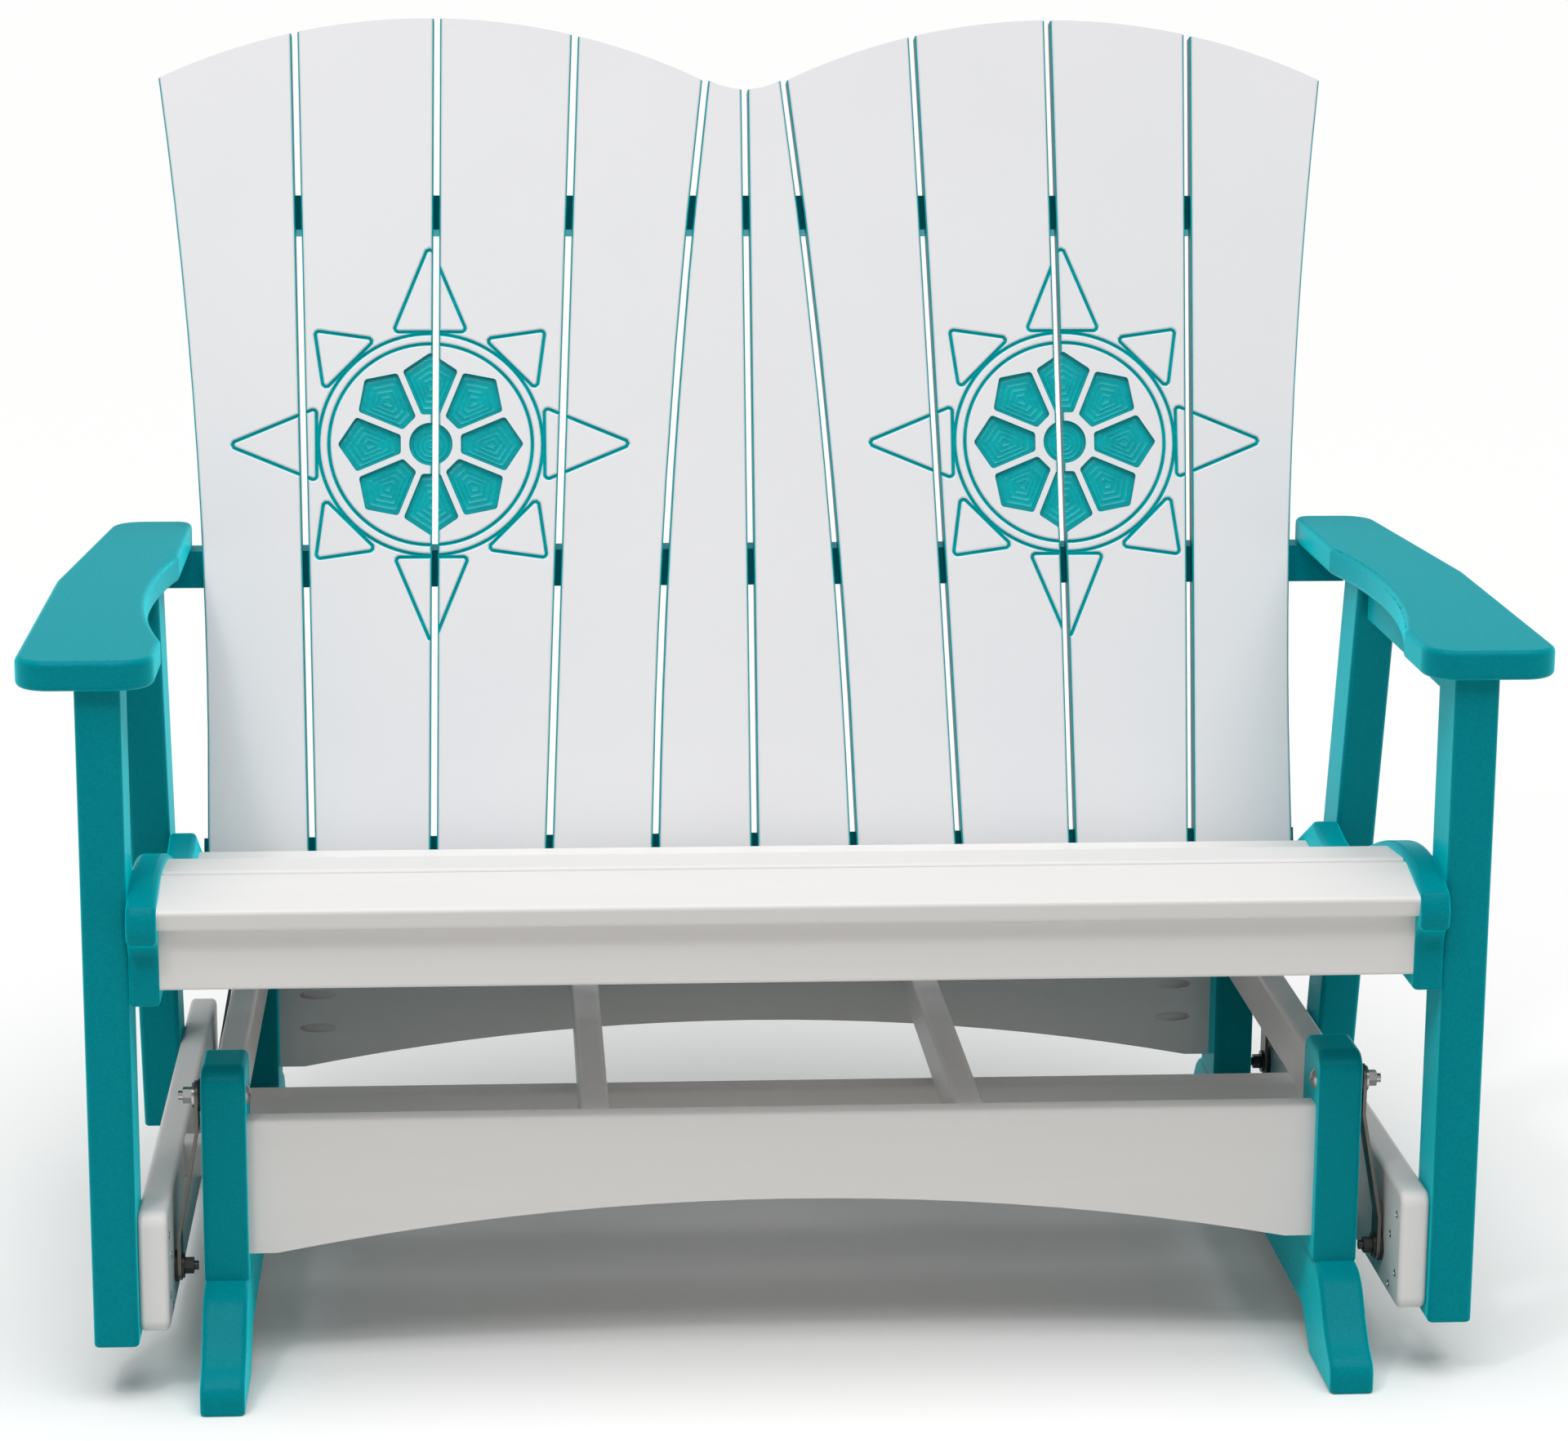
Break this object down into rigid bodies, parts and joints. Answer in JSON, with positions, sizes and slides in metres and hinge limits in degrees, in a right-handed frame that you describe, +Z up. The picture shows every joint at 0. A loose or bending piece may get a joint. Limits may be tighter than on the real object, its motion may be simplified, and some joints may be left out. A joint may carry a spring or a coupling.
{
  "type": "porch glider bench",
  "caption": "Poly-lumber porch glider bench with scalloped fan back, contoured slat seat and flat arms, hung on steel swing links from a footed base so that the seat glides to and fro",
  "frame": {"origin": "on the floor, in the middle of the width and depth of the whole object", "axes": "+X to the right hand of someone facing the front of the seat, +Y to the rear, +Z up"},
  "size_m": [1.286, 0.8124, 1.1307],
  "materials": {
    "teal_poly": "brushed-grain poly lumber with rounded edges",
    "white_poly": "smooth warm white poly lumber",
    "back_sheet": "white skins over a teal core, finely textured",
    "link_steel": "dark coated strap",
    "bolt_steel": "plain stainless and zinc",
    "pad_rubber": "black pad"
  },
  "bodies": {
    "base": {"base_inner_bar_left": "white_poly", "base_inner_bar_right": "white_poly", "base_post_front_left": "teal_poly", "base_post_front_right": "teal_poly", "base_post_rear_left": "teal_poly", "base_post_rear_right": "teal_poly", "base_side_bar_left": "white_poly", "base_side_bar_right": "white_poly", "foot_left": "teal_poly", "foot_right": "teal_poly", "front_apron": "white_poly", "rear_apron": "white_poly", "upper_pad_washers": "pad_rubber", "upper_pivot_bolts": "bolt_steel", "upper_pivot_nuts": "bolt_steel"},
    "link_front_left": {"swing_link_front_left": "link_steel"},
    "link_front_right": {"swing_link_front_right": "link_steel"},
    "link_rear_left": {"swing_link_rear_left": "link_steel"},
    "link_rear_right": {"swing_link_rear_right": "link_steel"},
    "glider": {"arm_cleat_left": "teal_poly", "arm_cleat_right": "teal_poly", "arm_left": "teal_poly", "arm_right": "teal_poly", "bottom_back_rail": "teal_poly", "centre_slat_left": "back_sheet", "centre_slat_right": "back_sheet", "fan_slat_1_left": "back_sheet", "fan_slat_1_right": "back_sheet", "fan_slat_2_left": "back_sheet", "fan_slat_2_right": "back_sheet", "fan_slat_3_left": "back_sheet", "fan_slat_3_right": "back_sheet", "fan_slat_4_left": "back_sheet", "fan_slat_4_right": "back_sheet", "front_arm_post_left": "teal_poly", "front_arm_post_right": "teal_poly", "front_cross_rail": "white_poly", "glide_rail_left": "white_poly", "glide_rail_right": "white_poly", "lower_back_rail": "teal_poly", "lower_pad_washers": "pad_rubber", "lower_pivot_bolts": "bolt_steel", "lower_pivot_nuts": "bolt_steel", "middle_cross_rail": "white_poly", "rear_leg_left": "teal_poly", "rear_leg_right": "teal_poly", "seat_end_left": "teal_poly", "seat_end_right": "teal_poly", "seat_front_rail": "white_poly", "seat_slat_1": "white_poly", "seat_slat_2": "white_poly", "seat_slat_3": "white_poly", "seat_slat_4": "white_poly", "seat_slat_5": "white_poly", "seat_slat_6": "white_poly", "seat_slat_7": "white_poly", "seat_support_left": "white_poly", "seat_support_right": "white_poly", "upper_back_rail": "teal_poly"}
  },
  "joints": [
    {"name": "glide", "type": "hinge", "parent": "base", "child": "link_front_left", "pos_m": [-0.5087, -0.2912, 0.2495], "axis": [1, 0, 0], "range_deg": [-20, 20]},
    {"name": "swing_front_right", "type": "hinge", "parent": "base", "child": "link_front_right", "pos_m": [0.5087, -0.2912, 0.2495], "axis": [1, 0, 0], "range_deg": [-20, 20]},
    {"name": "swing_rear_left", "type": "hinge", "parent": "base", "child": "link_rear_left", "pos_m": [-0.5087, 0.2488, 0.2495], "axis": [1, 0, 0], "range_deg": [-20, 20]},
    {"name": "swing_rear_right", "type": "hinge", "parent": "base", "child": "link_rear_right", "pos_m": [0.5087, 0.2488, 0.2495], "axis": [1, 0, 0], "range_deg": [-20, 20]},
    {"name": "seat_hang", "type": "hinge", "parent": "link_front_left", "child": "glider", "pos_m": [-0.5262, -0.2912, 0.0945], "axis": [1, 0, 0], "range_deg": [-20, 20]}
  ],
  "couplings": [
    {"joint": "swing_front_right", "follows": "glide", "ratio": 1},
    {"joint": "swing_rear_left", "follows": "glide", "ratio": 1},
    {"joint": "swing_rear_right", "follows": "glide", "ratio": 1},
    {"joint": "seat_hang", "follows": "glide", "ratio": -1}
  ]
}
